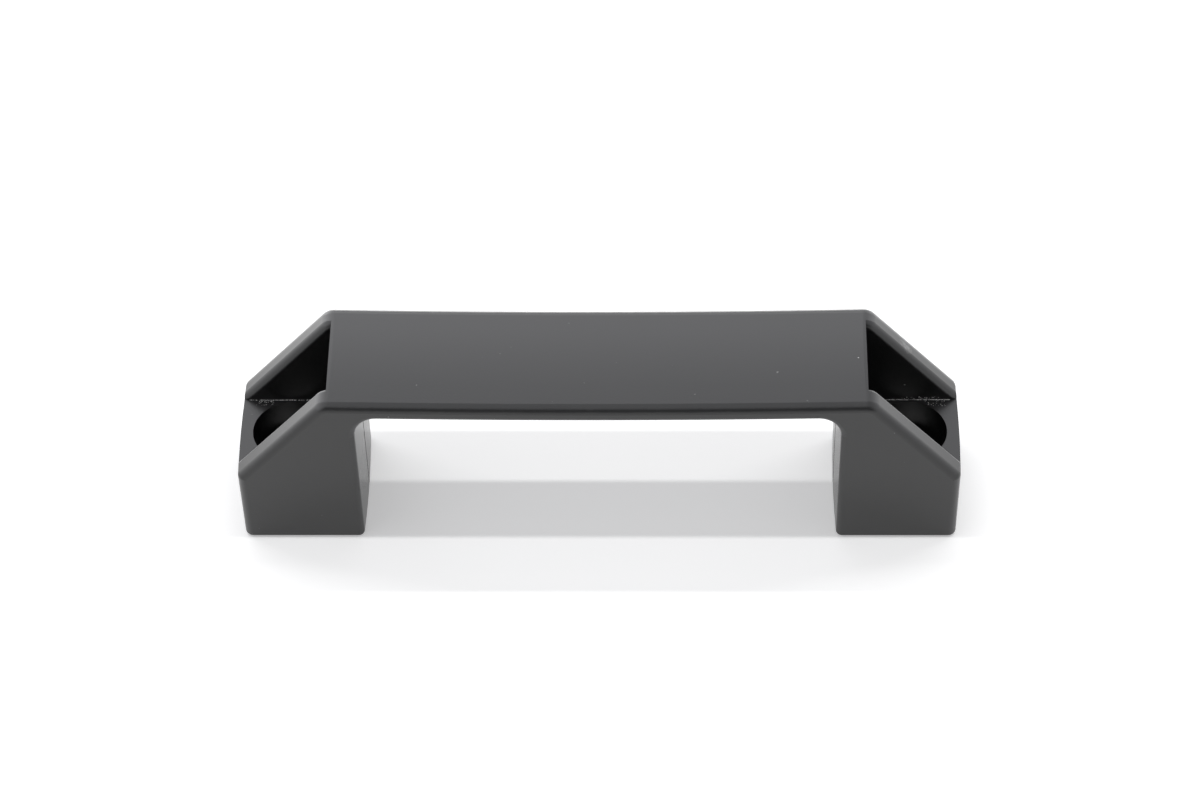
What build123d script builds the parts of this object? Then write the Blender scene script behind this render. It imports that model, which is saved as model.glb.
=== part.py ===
"""Bridge pull handle: one black moulding that is screwed down through both of its legs.

The frame: +Z is up and z = 0 is the panel that the feet stand on. The handle is long in X,
its front faces -Y, and x = y = 0 is the middle of its footprint.
"""

import os
from math import asin, cos, degrees, hypot, isclose, radians

from build123d import *

# Screws
screw_spacing = 120.0
screw_hole_diameter = 8.8
counterbore_diameter = 14.3  # takes the head of an 8 mm socket-head screw
seat_thickness = 8.0  # plastic under the screw's head

# Heights over the panel
height = 40.2  # where the top meets the slopes, before that bend is rounded
pocket_floor = 17.3
shoulder_rise = 0.65  # how far the slopes end above the pocket floors

# Walls
cheek = 5.05  # in front of a pocket and behind it
leg_wall = 4.9  # between a pocket and the space under the grip
end_wall = 2.35  # between a counterbore and the end face
side_clearance = 0.5  # a counterbore to the front and back walls of its pocket
wall_clearance = 2.0  # a counterbore to the upright wall of its pocket
ledge = 0.85  # the top runs this far past the upright wall of the pocket

# Grip
edge_height = 3.4  # from its crest down to the lower edges of its front and back faces
grip_thickness = 8.0  # its middle, from the crest to the underside
grip_dip = 0.75  # how far the top sags halfway between the slopes
crown = 0.35  # bulge of the top, the end faces and the legs' inner faces

# Roundings
arch_rounding = 4.5  # inner corner between a leg and the grip
front_rounding = 1.6  # front edges of the top, the slopes and the end faces
back_rounding = 2.2  # back edges of the top, the slopes and the end faces
bend_rounding = 3.0  # across the cheeks, where the top bends down into the slopes
shoulder_rounding = 1.2  # across the cheeks, from the slopes to the end faces
rim_rounding = 1.4  # from the slopes and the top down into a pocket
leg_rounding = 1.2  # inner upright edges of the legs and the long edges of the underside
foot_rounding = 0.8  # edges around the feet
cheek_share = 0.45  # the most of a cheek that one of its two roundings may take
bend_share = 0.8  # the most of the bend's radius that a pocket's flare may take
upper_share = 0.8  # the most of the grip's front face that its upper rounding may take
lower_share = 0.45  # the same for its lower rounding

# Places worked out from the sizes
screw_x = screw_spacing / 2
counterbore_radius = counterbore_diameter / 2
half_length = screw_x + counterbore_radius + end_wall
half_pocket = counterbore_radius + side_clearance
half_depth = half_pocket + cheek
pocket_wall_x = screw_x - counterbore_radius - wall_clearance
half_top = pocket_wall_x + ledge
leg_inner_x = pocket_wall_x - leg_wall
end_edge_x = half_length - crown
shoulder_height = pocket_floor + shoulder_rise
front_face = edge_height - crown
sag_radius = (half_top ** 2 + grip_dip ** 2) / (2 * grip_dip)
crest_z = height - grip_dip
upper_z = crest_z - crown
lower_z = crest_z - edge_height
upper_most = min(cheek_share * cheek, upper_share * front_face)
lower_rounding = min(leg_rounding, lower_share * front_face)
flare = min(rim_rounding, cheek_share * cheek, bend_share * bend_rounding)
nearly = 0.001  # closer than this is the same place
flare_lift = 0.01  # lets a pocket's flare run out just above the cheeks


def closed(*lines):
    """A face from lines that follow each other around its outline."""
    return make_face([edge for line in lines for edge in line.edges()])


def sagging(section):
    """A section across the handle, swept along it on the arc that the grip sags by."""
    half_swing = degrees(asin((half_length + half_depth) / sag_radius))
    centre = Axis((0, 0, crest_z + sag_radius), (0, 1, 0))
    face = Plane.YZ * section
    return revolve(face, centre, half_swing) + revolve(face, centre, -half_swing)


def bulging(end_x, bulge):
    """The handle's footprint between two upright faces at end_x that bulge towards their middle."""
    tip_x = end_x + bulge
    reach_y = 2 * half_depth
    return closed(
        ThreePointArc((end_x, -half_depth), (tip_x, 0), (end_x, half_depth)),
        Polyline((end_x, half_depth), (end_x, reach_y), (-end_x, reach_y), (-end_x, half_depth)),
        ThreePointArc((-end_x, half_depth), (-tip_x, 0), (-end_x, -half_depth)),
        Polyline((-end_x, -half_depth), (-end_x, -reach_y), (end_x, -reach_y), (end_x, -half_depth)),
    )


def square_edged_handle():
    """The bar and both legs, with all edges still square."""
    side = Polyline(
        (-half_length, 0),
        (half_length, 0),
        (half_length, shoulder_height),
        (half_top, height),
        (-half_top, height),
        (-half_length, shoulder_height),
        close=True,
    )
    crowned_top = closed(
        ThreePointArc((half_depth, upper_z), (0, crest_z), (-half_depth, upper_z)),
        Polyline((-half_depth, upper_z), (-half_depth, -height), (half_depth, -height)),
        Line((half_depth, -height), (half_depth, upper_z)),
    )
    handle = extrude(Plane.XZ * make_face(side), half_depth, both=True)
    handle &= sagging(crowned_top)
    handle &= extrude(bulging(end_edge_x, crown), height)
    return handle - hand_gap()


def hand_gap():
    """The space under the grip: domed by the underside and narrowed by both legs' inner faces."""
    reach_y = 2 * half_depth
    domed = closed(
        ThreePointArc((-half_depth, lower_z), (0, crest_z - grip_thickness), (half_depth, lower_z)),
        Polyline((half_depth, lower_z), (reach_y, lower_z), (reach_y, -height)),
        Line((reach_y, -height), (-reach_y, -height)),
        Polyline((-reach_y, -height), (-reach_y, lower_z), (-half_depth, lower_z)),
    )
    return sagging(domed) & extrude(bulging(leg_inner_x, -crown), height)


def rounded_handle():
    """The handle with its edges rounded, still without the pockets."""
    def above_panel(edge):
        return (edge @ 0.5).Z > nearly

    def under_grip(edge):
        return abs((edge @ 0.5).X) < pocket_wall_x and isclose((edge @ 0.5).Y, 0, abs_tol=nearly)

    def in_front_or_back(edge):
        points = [edge @ 0, edge @ 0.5, edge @ 1]
        return all(isclose(abs(point.Y), half_depth, abs_tol=nearly) for point in points)

    def around_hand_gap(edge):
        return abs((edge @ 0.5).X) < pocket_wall_x and (edge @ 0.5).Z < lower_z + nearly

    def at_bend(edge):
        return isclose(abs((edge @ 0.5).X), half_top, abs_tol=nearly)

    def at_shoulder(edge):
        runs_across = abs((edge @ 0).Y - (edge @ 1).Y) > half_pocket
        return runs_across and abs((edge @ 0.5).X) > (half_top + half_length) / 2

    def outline():
        return handle.edges().filter_by(in_front_or_back).filter_by(above_panel)

    def outer_outline():
        return outline().filter_by(around_hand_gap, reverse=True)

    handle = square_edged_handle()
    handle = fillet(handle.edges().filter_by(above_panel).filter_by(under_grip), arch_rounding)
    handle = fillet(handle.edges().filter_by(at_bend), bend_rounding)
    handle = fillet(handle.edges().filter_by(above_panel).filter_by(at_shoulder), shoulder_rounding)
    handle = fillet(outer_outline().group_by(Axis.Y)[0], min(front_rounding, upper_most))
    handle = fillet(outer_outline().group_by(Axis.Y)[-1], min(back_rounding, upper_most))
    handle = fillet(outline().filter_by(around_hand_gap), lower_rounding)
    return fillet(handle.edges().filter_by(above_panel, reverse=True), foot_rounding)


def flared_rim():
    """A pocket's mouth cut across: it rounds outwards from the upright walls up to the rim."""
    rim_y = half_pocket + flare
    turned = flare * cos(radians(45))
    return closed(
        ThreePointArc((half_pocket, -flare), (rim_y - turned, turned - flare), (rim_y, 0)),
        Polyline((rim_y, 0), (rim_y, height), (-rim_y, height), (-rim_y, 0)),
        ThreePointArc((-rim_y, 0), (turned - rim_y, turned - flare), (-half_pocket, -flare)),
        Line((-half_pocket, -flare), (half_pocket, -flare)),
    )


def screw_pocket():
    """The right pocket: open at the top, along the slope and at the end face."""
    run = half_length - half_top
    fall = height - shoulder_height
    slope_length = hypot(run, fall)
    rim_drop = crown * ((half_pocket + flare) / half_depth) ** 2 - flare_lift
    lift_x = flare_lift * slope_length / fall
    bend = (half_top + lift_x + rim_drop * run / fall, height - rim_drop)
    below_end = (bend[0] + 2 * run, bend[1] - 2 * fall)
    rim_line = Plane.XZ * FilletPolyline(below_end, bend, (0, bend[1]), radius=bend_rounding)
    across_slope = Plane(origin=(below_end[0], 0, below_end[1]), x_dir=(0, 1, 0), z_dir=(run, 0, -fall))
    mouth = sweep(across_slope * flared_rim(), path=rim_line)
    between_walls = Box(height, 2 * half_pocket, 2 * height, align=(Align.MIN, Align.CENTER, Align.CENTER))
    from_floor_up = Box(height, 2 * half_depth, height, align=(Align.MIN, Align.CENTER, Align.MIN))
    pocket = mouth + Pos(pocket_wall_x, 0, height) * between_walls
    return pocket & Pos(pocket_wall_x, 0, pocket_floor) * from_floor_up


def screw_seat():
    """The counterbore over the right screw hole, and the hole itself."""
    on_panel = (Align.CENTER, Align.CENTER, Align.MIN)
    counterbore = Pos(screw_x, 0, seat_thickness) * Cylinder(counterbore_radius, height, align=on_panel)
    hole = Pos(screw_x, 0, 0) * Cylinder(screw_hole_diameter / 2, height, align=on_panel)
    return counterbore + hole


right_cuts = [screw_pocket(), screw_seat()]
left_cuts = [mirror(cut, Plane.YZ) for cut in right_cuts]
handle = rounded_handle() - right_cuts - left_cuts

os.makedirs("parts", exist_ok=True)
export_step(handle, "parts/handle.step")
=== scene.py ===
from math import cos, radians, sin

import bpy
from mathutils import Matrix, Vector
from mathutils.bvhtree import BVHTree


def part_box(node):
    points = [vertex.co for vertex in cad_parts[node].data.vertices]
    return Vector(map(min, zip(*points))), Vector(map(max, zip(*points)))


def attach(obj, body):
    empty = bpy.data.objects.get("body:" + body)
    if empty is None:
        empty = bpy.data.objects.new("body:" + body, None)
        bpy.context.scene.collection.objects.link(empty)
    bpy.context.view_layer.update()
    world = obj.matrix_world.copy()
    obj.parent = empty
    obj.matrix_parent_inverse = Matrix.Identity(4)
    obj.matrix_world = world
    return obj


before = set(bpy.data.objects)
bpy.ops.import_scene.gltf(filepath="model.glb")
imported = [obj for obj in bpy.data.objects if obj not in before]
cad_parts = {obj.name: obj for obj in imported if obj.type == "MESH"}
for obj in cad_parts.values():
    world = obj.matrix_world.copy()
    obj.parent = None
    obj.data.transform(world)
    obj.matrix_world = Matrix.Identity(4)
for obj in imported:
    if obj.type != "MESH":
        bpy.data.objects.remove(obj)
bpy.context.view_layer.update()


# ---------------------------------------------------------------- camera
# A long lens, 0.72 m away, looks down on the front of the handle from about the
# height of a person's eyes over a bench, turned slightly off square.
camera_data = bpy.data.cameras.new("camera")
camera_data.lens = 112.082
camera_data.sensor_width = 36.0
camera_data.clip_start = 0.01
camera = bpy.data.objects.new("camera", camera_data)
bpy.context.scene.collection.objects.link(camera)
turned = Matrix.Rotation(radians(1.8841), 3, "Z")
tilted = Matrix.Rotation(radians(39.2207), 3, "X")
rolled = Matrix.Rotation(radians(-1.4926), 3, "Z")
facing = turned @ tilted @ rolled
aim = Vector((0, 0, 0.020))
away = facing @ Vector((0.000160, 0.004198, 0.720806))
camera.matrix_world = Matrix.Translation(aim + away) @ facing.to_4x4()
bpy.context.scene.camera = camera


# ---------------------------------------------------------------- paper
# The handle stands on a wide sheet of white paper, lit to plain white. As the black
# plastic mirrors it, the sheet glows brighter behind the handle and dimmer to the right,
# in reflections only: a painted reflection.
paper_material = bpy.data.materials.new("white_paper_with_painted_reflection")
paper_material.use_nodes = True
nodes, links = paper_material.node_tree.nodes, paper_material.node_tree.links
nodes.clear()
paper_out = nodes.new("ShaderNodeOutputMaterial")
paper_sum = nodes.new("ShaderNodeAddShader")
paper_diffuse = nodes.new("ShaderNodeBsdfDiffuse")
paper_diffuse.inputs["Color"].default_value = (0.88, 0.88, 0.88, 1)
paper_glow = nodes.new("ShaderNodeEmission")
paper_ray = nodes.new("ShaderNodeLightPath")
paper_seen = nodes.new("ShaderNodeMath")
paper_seen.operation = "MAXIMUM"
seen_glow = 0.35
paper_strength = nodes.new("ShaderNodeMath")
paper_strength.operation = "MULTIPLY_ADD"
paper_strength.inputs[1].default_value = seen_glow
paper_place = nodes.new("ShaderNodeTexCoord")
paper_split = nodes.new("ShaderNodeSeparateXYZ")
# Painted reflection: in glossy rays only, the paper glows more behind the handle and less to
# the right.
paper_far_painted_reflection = nodes.new("ShaderNodeMapRange")
paper_far_painted_reflection.inputs["From Min"].default_value = 0.02
paper_far_painted_reflection.inputs["From Max"].default_value = 0.16
paper_far_painted_reflection.inputs["To Max"].default_value = 2.3
paper_right_painted_reflection = nodes.new("ShaderNodeMapRange")
paper_right_painted_reflection.inputs["From Min"].default_value = 0.06
paper_right_painted_reflection.inputs["From Max"].default_value = 0.16
paper_right_painted_reflection.inputs["To Min"].default_value = 1.0
paper_right_painted_reflection.inputs["To Max"].default_value = 0.40
painted_reflection_strength = nodes.new("ShaderNodeMath")
painted_reflection_strength.operation = "MULTIPLY"
painted_reflection_in_gloss = nodes.new("ShaderNodeMath")
painted_reflection_in_gloss.operation = "MULTIPLY"
links.new(paper_place.outputs["Object"], paper_split.inputs[0])
links.new(paper_split.outputs["Y"], paper_far_painted_reflection.inputs["Value"])
links.new(paper_split.outputs["X"], paper_right_painted_reflection.inputs["Value"])
links.new(paper_far_painted_reflection.outputs["Result"], painted_reflection_strength.inputs[0])
links.new(paper_right_painted_reflection.outputs["Result"], painted_reflection_strength.inputs[1])
links.new(painted_reflection_strength.outputs[0], painted_reflection_in_gloss.inputs[0])
links.new(paper_ray.outputs["Is Glossy Ray"], painted_reflection_in_gloss.inputs[1])
links.new(painted_reflection_in_gloss.outputs[0], paper_strength.inputs[2])
links.new(paper_ray.outputs["Is Camera Ray"], paper_seen.inputs[0])
links.new(paper_ray.outputs["Is Glossy Ray"], paper_seen.inputs[1])
links.new(paper_seen.outputs[0], paper_strength.inputs[0])
links.new(paper_strength.outputs[0], paper_glow.inputs["Strength"])
links.new(paper_diffuse.outputs[0], paper_sum.inputs[0])
links.new(paper_glow.outputs[0], paper_sum.inputs[1])
links.new(paper_sum.outputs[0], paper_out.inputs["Surface"])

paper_mesh = bpy.data.meshes.new("paper")
paper_half, paper_z = 2.0, -0.0001
paper_mesh.from_pydata(
    [(-paper_half, -paper_half, paper_z), (paper_half, -paper_half, paper_z),
     (paper_half, paper_half, paper_z), (-paper_half, paper_half, paper_z)],
    [], [(0, 1, 2, 3)])
paper_mesh.materials.append(paper_material)
paper = bpy.data.objects.new("paper", paper_mesh)
bpy.context.scene.collection.objects.link(paper)


# ---------------------------------------------------------------- lamps
# Two long, thin tube lamps hang level over the bench: one straight above the handle
# and one a little behind it. They leave no glare of their own in the gloss.
def tube_lamp(name, lean, power):
    tube_length, tube_width, tube_height = 1.2, 0.02, 0.75
    lamp = bpy.data.lights.new(name, "AREA")
    lamp.shape = "RECTANGLE"
    lamp.size, lamp.size_y = tube_length, tube_width
    lamp.energy = power
    tube = bpy.data.objects.new(name, lamp)
    bpy.context.scene.collection.objects.link(tube)
    hung = Matrix.Translation((0, 0, tube_height))
    tube.matrix_world = Matrix.Rotation(radians(-lean), 4, "X") @ hung
    tube.visible_glossy = False


tube_lamp("overhead_tube", lean=-1.0, power=2.3)
tube_lamp("back_tube", lean=17.5, power=2.4)


# ---------------------------------------------------------------- room
# A pale painted room, dim in front, even overhead and brightest at the wall behind
# the handle. The gloss mirrors it at full strength, and it lights the rest at a share.
studio = bpy.data.worlds.new("studio")
studio.use_nodes = True
bpy.context.scene.world = studio
nodes, links = studio.node_tree.nodes, studio.node_tree.links
nodes.clear()
room_out = nodes.new("ShaderNodeOutputWorld")
room_mix = nodes.new("ShaderNodeMixShader")
room_ray = nodes.new("ShaderNodeLightPath")
room_seen = nodes.new("ShaderNodeBackground")
room_light = nodes.new("ShaderNodeBackground")
room_way = nodes.new("ShaderNodeTexCoord")
room_split = nodes.new("ShaderNodeSeparateXYZ")
room_depth = nodes.new("ShaderNodeMapRange")
room_ramp = nodes.new("ShaderNodeValToRGB")
room_seen.inputs["Color"].default_value = (1, 1, 1, 1)
room_depth.inputs["From Min"].default_value = -1
room_depth.inputs["From Max"].default_value = 1
front_to_back = (
    (0.0, 0.5), (0.04, 0.30), (0.085, 0.16), (0.15, 0.95), (0.25, 1.3), (0.60, 1.25),
    (0.74, 1.35), (0.80, 1.85), (0.85, 2.6), (0.90, 3.6), (1.0, 5.5))
cool_red, cool_green, cool_blue = 0.985, 0.99, 1.02
room_tones = room_ramp.color_ramp.elements
for depth, tone in front_to_back:
    stop = room_tones.new(depth)
    stop.color = (tone * cool_red, tone * cool_green, tone * cool_blue, 1)
room_tones.remove(room_tones[0])
room_tones.remove(room_tones[-1])
links.new(room_way.outputs["Generated"], room_split.inputs[0])
links.new(room_split.outputs["Y"], room_depth.inputs["Value"])
links.new(room_depth.outputs["Result"], room_ramp.inputs["Fac"])
links.new(room_ramp.outputs["Color"], room_light.inputs["Color"])

# The wall brightens towards both sides, and the window is on the left.
wing_gain, middle_level, rough_share = 0.75, 1.0, 0.27
room_side = nodes.new("ShaderNodeMath")
room_side.operation = "MULTIPLY"
room_wings = nodes.new("ShaderNodeMath")
room_wings.operation = "MULTIPLY_ADD"
room_wings.inputs[1].default_value = wing_gain
room_wings.inputs[2].default_value = middle_level
room_window = nodes.new("ShaderNodeMapRange")
room_window.inputs["From Min"].default_value = -0.06
room_window.inputs["From Max"].default_value = 0.20
room_window.inputs["To Min"].default_value = 1.14
room_window.inputs["To Max"].default_value = 0.70
room_sides = nodes.new("ShaderNodeMath")
room_sides.operation = "MULTIPLY"
room_share = nodes.new("ShaderNodeMapRange")
room_share.inputs["To Min"].default_value = rough_share
room_share.inputs["To Max"].default_value = 1.0
room_strength = nodes.new("ShaderNodeMath")
room_strength.operation = "MULTIPLY"
links.new(room_split.outputs["X"], room_side.inputs[0])
links.new(room_split.outputs["X"], room_side.inputs[1])
links.new(room_side.outputs[0], room_wings.inputs[0])
links.new(room_split.outputs["X"], room_window.inputs["Value"])
links.new(room_wings.outputs[0], room_sides.inputs[0])
links.new(room_window.outputs["Result"], room_sides.inputs[1])
links.new(room_ray.outputs["Is Glossy Ray"], room_share.inputs["Value"])
links.new(room_sides.outputs[0], room_strength.inputs[0])
links.new(room_share.outputs["Result"], room_strength.inputs[1])
links.new(room_strength.outputs[0], room_light.inputs["Strength"])
links.new(room_ray.outputs["Is Camera Ray"], room_mix.inputs["Fac"])
links.new(room_light.outputs[0], room_mix.inputs[1])
links.new(room_seen.outputs[0], room_mix.inputs[2])
links.new(room_mix.outputs[0], room_out.inputs["Surface"])

bpy.context.scene.view_settings.view_transform = "Standard"


# ---------------------------------------------------------------- handle
# One moulding in black glass-filled nylon. Its mould was spark-eroded, so the
# skin has a fine satin grain with faint cloudy patches where the melt cooled
# unevenly, a few pale specks of dust and a scuff on one rim.
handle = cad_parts["handle"]
high_corner = Vector(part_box("handle")[1])
plastic = bpy.data.materials.new("black_nylon")
plastic.use_nodes = True
nodes, links = plastic.node_tree.nodes, plastic.node_tree.links
skin = nodes["Principled BSDF"]
skin.inputs["Specular IOR Level"].default_value = 0.6
place = nodes.new("ShaderNodeTexCoord")

patches = nodes.new("ShaderNodeTexNoise")
patches.inputs["Scale"].default_value = 90
patches.inputs["Detail"].default_value = 4
links.new(place.outputs["Object"], patches.inputs["Vector"])
deep_black, cloudy_black = (0.0036, 0.0037, 0.0039, 1), (0.0058, 0.0058, 0.0060, 1)
black = nodes.new("ShaderNodeMixRGB")
black.inputs[1].default_value = deep_black
black.inputs[2].default_value = cloudy_black
links.new(patches.outputs["Fac"], black.inputs[0])

dust = nodes.new("ShaderNodeTexNoise")
dust.inputs["Scale"].default_value = 900
dust.inputs["Detail"].default_value = 1
dust_specks = nodes.new("ShaderNodeMapRange")
dust_specks.inputs["From Min"].default_value = 0.80
dust_specks.inputs["From Max"].default_value = 0.86
links.new(place.outputs["Object"], dust.inputs["Vector"])
links.new(dust.outputs["Fac"], dust_specks.inputs["Value"])

# The scuff lies along the sloped back rim of the right pocket.
scuff_from_back, slope_turn = 0.0031, radians(51)
scuff_place = nodes.new("ShaderNodeMapping")
scuff_place.vector_type = "TEXTURE"
scuff_place.inputs["Location"].default_value = (0.0590, high_corner.y - scuff_from_back, 0.0311)
scuff_place.inputs["Rotation"].default_value = (0, slope_turn, 0)
scuff_place.inputs["Scale"].default_value = (0.0034, 0.0022, 0.0022)
scuff_spot = nodes.new("ShaderNodeTexGradient")
scuff_spot.gradient_type = "SPHERICAL"
scratches = nodes.new("ShaderNodeTexNoise")
scratches.inputs["Scale"].default_value = 1500
scratches.inputs["Detail"].default_value = 3
scuff = nodes.new("ShaderNodeMath")
scuff.operation = "MULTIPLY"
scuff_sharp = nodes.new("ShaderNodeMapRange")
scuff_sharp.inputs["From Min"].default_value = 0.18
scuff_sharp.inputs["From Max"].default_value = 0.45
links.new(place.outputs["Object"], scuff_place.inputs["Vector"])
links.new(scuff_place.outputs[0], scuff_spot.inputs["Vector"])
links.new(place.outputs["Object"], scratches.inputs["Vector"])
links.new(scuff_spot.outputs["Fac"], scuff.inputs[0])
links.new(scratches.outputs["Fac"], scuff.inputs[1])
links.new(scuff.outputs[0], scuff_sharp.inputs["Value"])
wear = nodes.new("ShaderNodeMath")
wear.operation = "MAXIMUM"
links.new(dust_specks.outputs["Result"], wear.inputs[0])
links.new(scuff_sharp.outputs["Result"], wear.inputs[1])
worn_grey = (0.11, 0.11, 0.11, 1)
worn = nodes.new("ShaderNodeMixRGB")
worn.inputs[2].default_value = worn_grey
links.new(wear.outputs[0], worn.inputs[0])
links.new(black.outputs[0], worn.inputs[1])
links.new(worn.outputs[0], skin.inputs["Base Color"])

glancing = nodes.new("ShaderNodeLayerWeight")
satin = nodes.new("ShaderNodeMapRange")
satin.inputs["From Min"].default_value = 0.5
satin.inputs["From Max"].default_value = 0.95
satin.inputs["To Min"].default_value = 0.31
satin.inputs["To Max"].default_value = 0.25
patch_roughness = 0.04
satin_patches = nodes.new("ShaderNodeMath")
satin_patches.operation = "MULTIPLY_ADD"
satin_patches.inputs[1].default_value = patch_roughness
links.new(glancing.outputs["Facing"], satin.inputs["Value"])
links.new(patches.outputs["Fac"], satin_patches.inputs[0])
links.new(satin.outputs["Result"], satin_patches.inputs[2])
links.new(satin_patches.outputs[0], skin.inputs["Roughness"])

grain = nodes.new("ShaderNodeTexNoise")
grain.inputs["Scale"].default_value = 2600
grain.inputs["Detail"].default_value = 2
bump = nodes.new("ShaderNodeBump")
bump.inputs["Strength"].default_value = 0.22
bump.inputs["Distance"].default_value = 0.00004
links.new(place.outputs["Object"], grain.inputs["Vector"])
links.new(grain.outputs["Fac"], bump.inputs["Height"])
links.new(bump.outputs["Normal"], skin.inputs["Normal"])
handle.material_slots[0].material = plastic


# ---------------------------------------------------------------- parting line
# Where the two halves of the mould met, a hair-thin ridge of the same nylon runs
# up the inner face of each leg and across the underside of the grip, at half depth.
def setting(tree, name, kind):
    return tree.interface.new_socket(name, in_out="INPUT", socket_type="NodeSocket" + kind)


ridge_tree = bpy.data.node_groups.new("parting_ridge", "GeometryNodeTree")
setting(ridge_tree, "Path", "Geometry")
ridge_step = setting(ridge_tree, "Step", "Float")
ridge_half = setting(ridge_tree, "Half width", "Float")
ridge_finish = setting(ridge_tree, "Finish", "Material")
ridge_tree.interface.new_socket("Ridge", in_out="OUTPUT", socket_type="NodeSocketGeometry")
nodes, links = ridge_tree.nodes, ridge_tree.links
ridge_in = nodes.new("NodeGroupInput")
ridge_out = nodes.new("NodeGroupOutput")
ridge_curve = nodes.new("GeometryNodeMeshToCurve")
ridge_even = nodes.new("GeometryNodeResampleCurve")
ridge_even.mode = "LENGTH"
ridge_section = nodes.new("GeometryNodeCurvePrimitiveCircle")
ridge_section.inputs["Resolution"].default_value = 6
ridge_mesh = nodes.new("GeometryNodeCurveToMesh")
ridge_mesh.inputs["Fill Caps"].default_value = True
ridge_paint = nodes.new("GeometryNodeSetMaterial")
links.new(ridge_in.outputs["Path"], ridge_curve.inputs["Mesh"])
links.new(ridge_curve.outputs[0], ridge_even.inputs["Curve"])
links.new(ridge_in.outputs["Step"], ridge_even.inputs["Length"])
links.new(ridge_in.outputs["Half width"], ridge_section.inputs["Radius"])
links.new(ridge_even.outputs[0], ridge_mesh.inputs["Curve"])
links.new(ridge_section.outputs[0], ridge_mesh.inputs["Profile Curve"])
links.new(ridge_mesh.outputs[0], ridge_paint.inputs["Geometry"])
links.new(ridge_in.outputs["Finish"], ridge_paint.inputs["Material"])
links.new(ridge_paint.outputs[0], ridge_out.inputs[0])

skin_tree = BVHTree.FromPolygons([v.co for v in handle.data.vertices],
                                 [p.vertices for p in handle.data.polygons])


def met_skin(start, towards):
    return skin_tree.ray_cast(Vector(start), Vector(towards))[0]


# The path is felt out from inside the finger gap: a flattened half turn from the
# right leg over the underside to the left leg, then a few heights down each leg.
gap_middle = (0, 0, 0.012)
fan_width, fan_height, fan_lift = 0.090, 0.030, 0.0001
ridge_points = []
for degree in range(181):
    turn = radians(degree)
    ray = Vector((cos(turn) * fan_width, 0, sin(turn) * fan_height + fan_lift)).normalized()
    ridge_points.append(met_skin(gap_middle, ray))
for rise in (0.0095, 0.0065, 0.0035, 0.0012):
    ridge_points.insert(0, met_skin((0, 0, rise), (1, 0, 0)))
    ridge_points.append(met_skin((0, 0, rise), (-1, 0, 0)))


def finished(name, carrier_mesh, tree, settings):
    piece = bpy.data.objects.new(name, carrier_mesh)
    bpy.context.scene.collection.objects.link(piece)
    modifier = piece.modifiers.new(name, "NODES")
    modifier.node_group = tree
    for socket, value in settings:
        modifier[socket.identifier] = value
    bpy.context.view_layer.update()
    shape = piece.evaluated_get(bpy.context.evaluated_depsgraph_get())
    mesh = bpy.data.meshes.new_from_object(shape)
    piece.modifiers.remove(modifier)
    piece.data = mesh
    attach(piece, "root")


ridge_path = bpy.data.meshes.new("parting_path")
ridge_path.from_pydata([tuple(spot) for spot in ridge_points],
                       [(n, n + 1) for n in range(len(ridge_points) - 1)], [])
finished("parting_line", ridge_path, ridge_tree,
         ((ridge_step, 0.0004), (ridge_half, 0.00006), (ridge_finish, plastic)))


# ---------------------------------------------------------------- torn flash and painted highlight
# Where the mould's core shut off against the foot of each pocket's back wall, it
# left a broken thread of flash. Torn nylon is pale, and crumbs of it lie beside it.
# The pale thread is also a painted highlight, standing in for the gleam off the
# small fillet at the wall's foot.
torn = bpy.data.materials.new("torn_nylon_and_painted_highlight")
torn.use_nodes = True
nodes, links = torn.node_tree.nodes, torn.node_tree.links
torn_skin = nodes["Principled BSDF"]
torn_skin.inputs["Roughness"].default_value = 0.65
torn_place = nodes.new("ShaderNodeTexCoord")
torn_patches = nodes.new("ShaderNodeTexNoise")
torn_patches.inputs["Scale"].default_value = 1400
# The pale tone is torn nylon, and on the threads it is also a painted highlight.
torn_grey, torn_pale_and_highlight = (0.25, 0.25, 0.25, 1), (0.85, 0.85, 0.83, 1)
torn_tones = nodes.new("ShaderNodeMixRGB")
torn_tones.inputs[1].default_value = torn_grey
torn_tones.inputs[2].default_value = torn_pale_and_highlight
torn_spread = nodes.new("ShaderNodeMapRange")
torn_spread.inputs["From Min"].default_value = 0.35
torn_spread.inputs["From Max"].default_value = 0.65
links.new(torn_place.outputs["Object"], torn_patches.inputs["Vector"])
links.new(torn_patches.outputs["Fac"], torn_spread.inputs["Value"])
links.new(torn_spread.outputs["Result"], torn_tones.inputs[0])
links.new(torn_tones.outputs[0], torn_skin.inputs["Base Color"])

crumb_tree = bpy.data.node_groups.new("torn_crumbs", "GeometryNodeTree")
crumb_start = setting(crumb_tree, "Start", "Vector")
crumb_end = setting(crumb_tree, "End", "Vector")
crumb_count = setting(crumb_tree, "Count", "Int")
crumb_strew_low = setting(crumb_tree, "Strew low", "Vector")
crumb_strew_high = setting(crumb_tree, "Strew high", "Vector")
crumb_small = setting(crumb_tree, "Smallest", "Vector")
crumb_large = setting(crumb_tree, "Largest", "Vector")
crumb_kept = setting(crumb_tree, "Share kept", "Float")
crumb_seed = setting(crumb_tree, "Seed", "Int")
crumb_finish = setting(crumb_tree, "Finish", "Material")
crumb_tree.interface.new_socket("Crumbs", in_out="OUTPUT", socket_type="NodeSocketGeometry")
nodes, links = crumb_tree.nodes, crumb_tree.links
crumb_in = nodes.new("NodeGroupInput")
crumb_out = nodes.new("NodeGroupOutput")
crumb_line = nodes.new("GeometryNodeMeshLine")
crumb_line.mode = "END_POINTS"
crumb_strew = nodes.new("FunctionNodeRandomValue")
crumb_strew.data_type = "FLOAT_VECTOR"
crumb_move = nodes.new("GeometryNodeSetPosition")
crumb_size = nodes.new("FunctionNodeRandomValue")
crumb_size.data_type = "FLOAT_VECTOR"
crumb_pick = nodes.new("FunctionNodeRandomValue")
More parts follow.
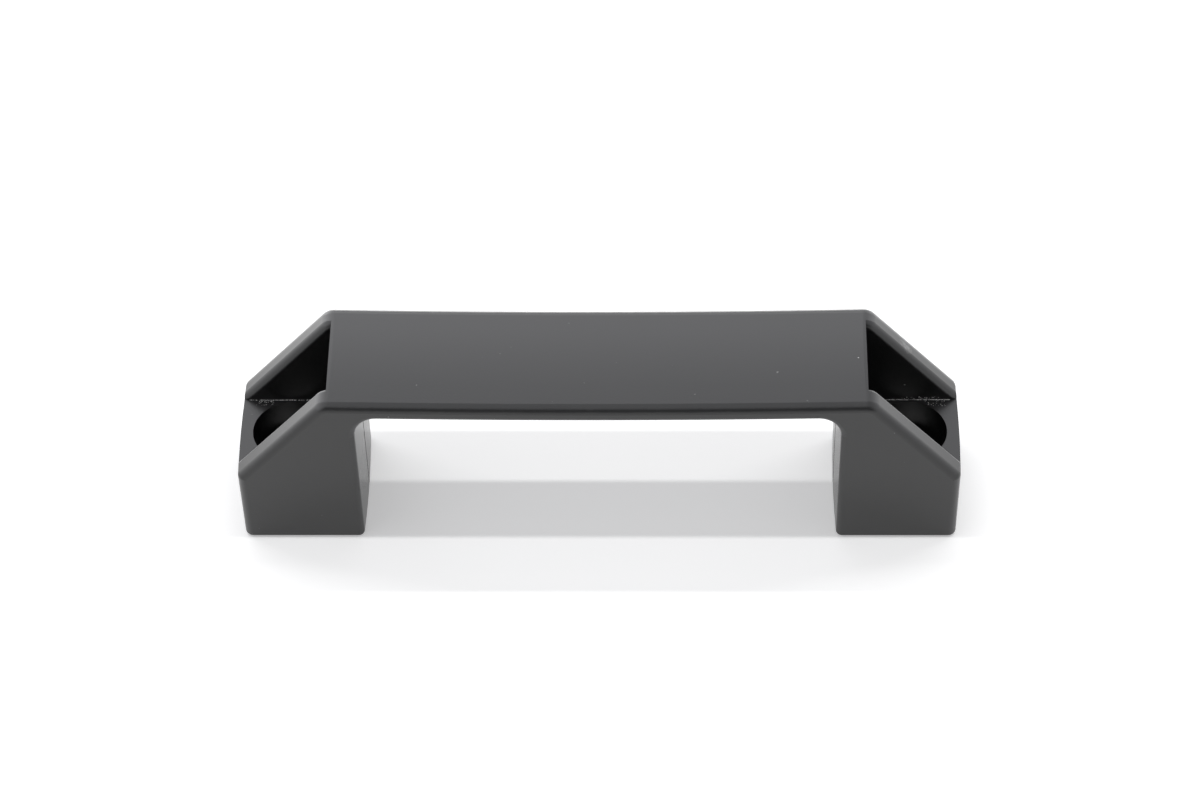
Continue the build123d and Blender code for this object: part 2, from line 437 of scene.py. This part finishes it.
crumb_pick.data_type = "BOOLEAN"
crumb_grain = nodes.new("GeometryNodeMeshIcoSphere")
crumb_grain.inputs["Radius"].default_value = 0.5
crumb_grain.inputs["Subdivisions"].default_value = 1
crumb_place = nodes.new("GeometryNodeInstanceOnPoints")
crumb_real = nodes.new("GeometryNodeRealizeInstances")
crumb_paint = nodes.new("GeometryNodeSetMaterial")
links.new(crumb_in.outputs["Count"], crumb_line.inputs["Count"])
links.new(crumb_in.outputs["Start"], crumb_line.inputs["Start Location"])
links.new(crumb_in.outputs["End"], crumb_line.inputs["Offset"])
links.new(crumb_in.outputs["Strew low"], crumb_strew.inputs[0])
links.new(crumb_in.outputs["Strew high"], crumb_strew.inputs[1])
links.new(crumb_in.outputs["Seed"], crumb_strew.inputs["Seed"])
links.new(crumb_line.outputs[0], crumb_move.inputs["Geometry"])
links.new(crumb_strew.outputs[0], crumb_move.inputs["Offset"])
links.new(crumb_in.outputs["Smallest"], crumb_size.inputs[0])
links.new(crumb_in.outputs["Largest"], crumb_size.inputs[1])
links.new(crumb_in.outputs["Seed"], crumb_size.inputs["Seed"])
links.new(crumb_in.outputs["Share kept"], crumb_pick.inputs["Probability"])
links.new(crumb_in.outputs["Seed"], crumb_pick.inputs["Seed"])
links.new(crumb_move.outputs[0], crumb_place.inputs["Points"])
links.new(crumb_pick.outputs[3], crumb_place.inputs["Selection"])
links.new(crumb_grain.outputs["Mesh"], crumb_place.inputs["Instance"])
links.new(crumb_size.outputs[0], crumb_place.inputs["Scale"])
links.new(crumb_place.outputs[0], crumb_real.inputs["Geometry"])
links.new(crumb_real.outputs[0], crumb_paint.inputs["Geometry"])
links.new(crumb_in.outputs["Finish"], crumb_paint.inputs["Material"])
links.new(crumb_paint.outputs[0], crumb_out.inputs[0])


def strewn(name, start, end, count, strew, sizes, kept, seed):
    finished(name, bpy.data.meshes.new(name), crumb_tree, (
        (crumb_start, start), (crumb_end, end), (crumb_count, count),
        (crumb_strew_low, strew[0]), (crumb_strew_high, strew[1]),
        (crumb_small, sizes[0]), (crumb_large, sizes[1]),
        (crumb_kept, kept), (crumb_seed, seed), (crumb_finish, torn)))


pocket_floor, pocket_back, off_skin = 0.0173, 0.00765, 0.00003
thread_back, thread_up = pocket_back - off_skin, pocket_floor + off_skin
thread_strew = (-0.0001, -0.00002, 0.0), (0.0001, 0.0, 0.00003)
thread_sizes = (0.00018, 0.00010, 0.00009), (0.00060, 0.00020, 0.00019)
# Painted highlight: the pale threads stand in for the gleam off the fillet, together with the
# torn flash.
for name, side, near, far, count, kept, seed in (
        ("left_flash_and_painted_highlight", -1, 0.0563, 0.0682, 62, 0.72, 3),
        ("right_flash_and_painted_highlight", 1, 0.0545, 0.0680, 70, 0.86, 8)):
    strewn(name, (side * near, thread_back, thread_up), (side * far, thread_back, thread_up),
           count, thread_strew, thread_sizes, kept, seed)

left_floor_strew = (-0.0003, -0.0014, 0.0), (0.0003, -0.0001, 0.00002)
right_floor_strew = (-0.0003, -0.0016, 0.0), (0.0003, -0.0001, 0.00002)
wall_strew = (-0.0004, 0.0, 0.0001), (0.0004, 0.00002, 0.0009)
loose_sizes, loose_kept = ((0.00007, 0.00007, 0.00005), (0.00027, 0.00020, 0.00016)), 0.7
for name, side, near, far, count, seed, strew in (
        ("left_crumbs", -1, 0.0635, 0.0668, 34, 5, left_floor_strew),
        ("right_floor_crumbs", 1, 0.0632, 0.0672, 30, 11, right_floor_strew),
        ("right_wall_crumbs", 1, 0.0570, 0.0655, 44, 14, wall_strew)):
    strewn(name, (side * near, thread_back, thread_up), (side * far, thread_back, thread_up),
           count, strew, loose_sizes, loose_kept, seed)


# ---------------------------------------------------------------- dust
# Two larger flecks of pale dust cling to the moulding: a flat one on the top, near
# the right pocket, and one on the back wall of that pocket. Each is a few grains.
fleck_sunk, fleck_grains = 0.00002, 3
fleck_strew = (-0.00010, -0.00008, 0.0), (0.00010, 0.00008, 0.0)
fleck_sizes = (0.00016, 0.00014, 0.00008), (0.00023, 0.00020, 0.00010)
for name, start, towards, seed in (
        ("top_fleck", (0.0492, -0.0007, 0.1), (0, 0, -1), 21),
        ("pocket_fleck", (0.0590, 0, 0.0219), (0, 1, 0), 24)):
    spot = tuple(met_skin(start, towards) + Vector(towards) * fleck_sunk)
    strewn(name, spot, spot, fleck_grains, fleck_strew, fleck_sizes, kept=1.0, seed=seed)
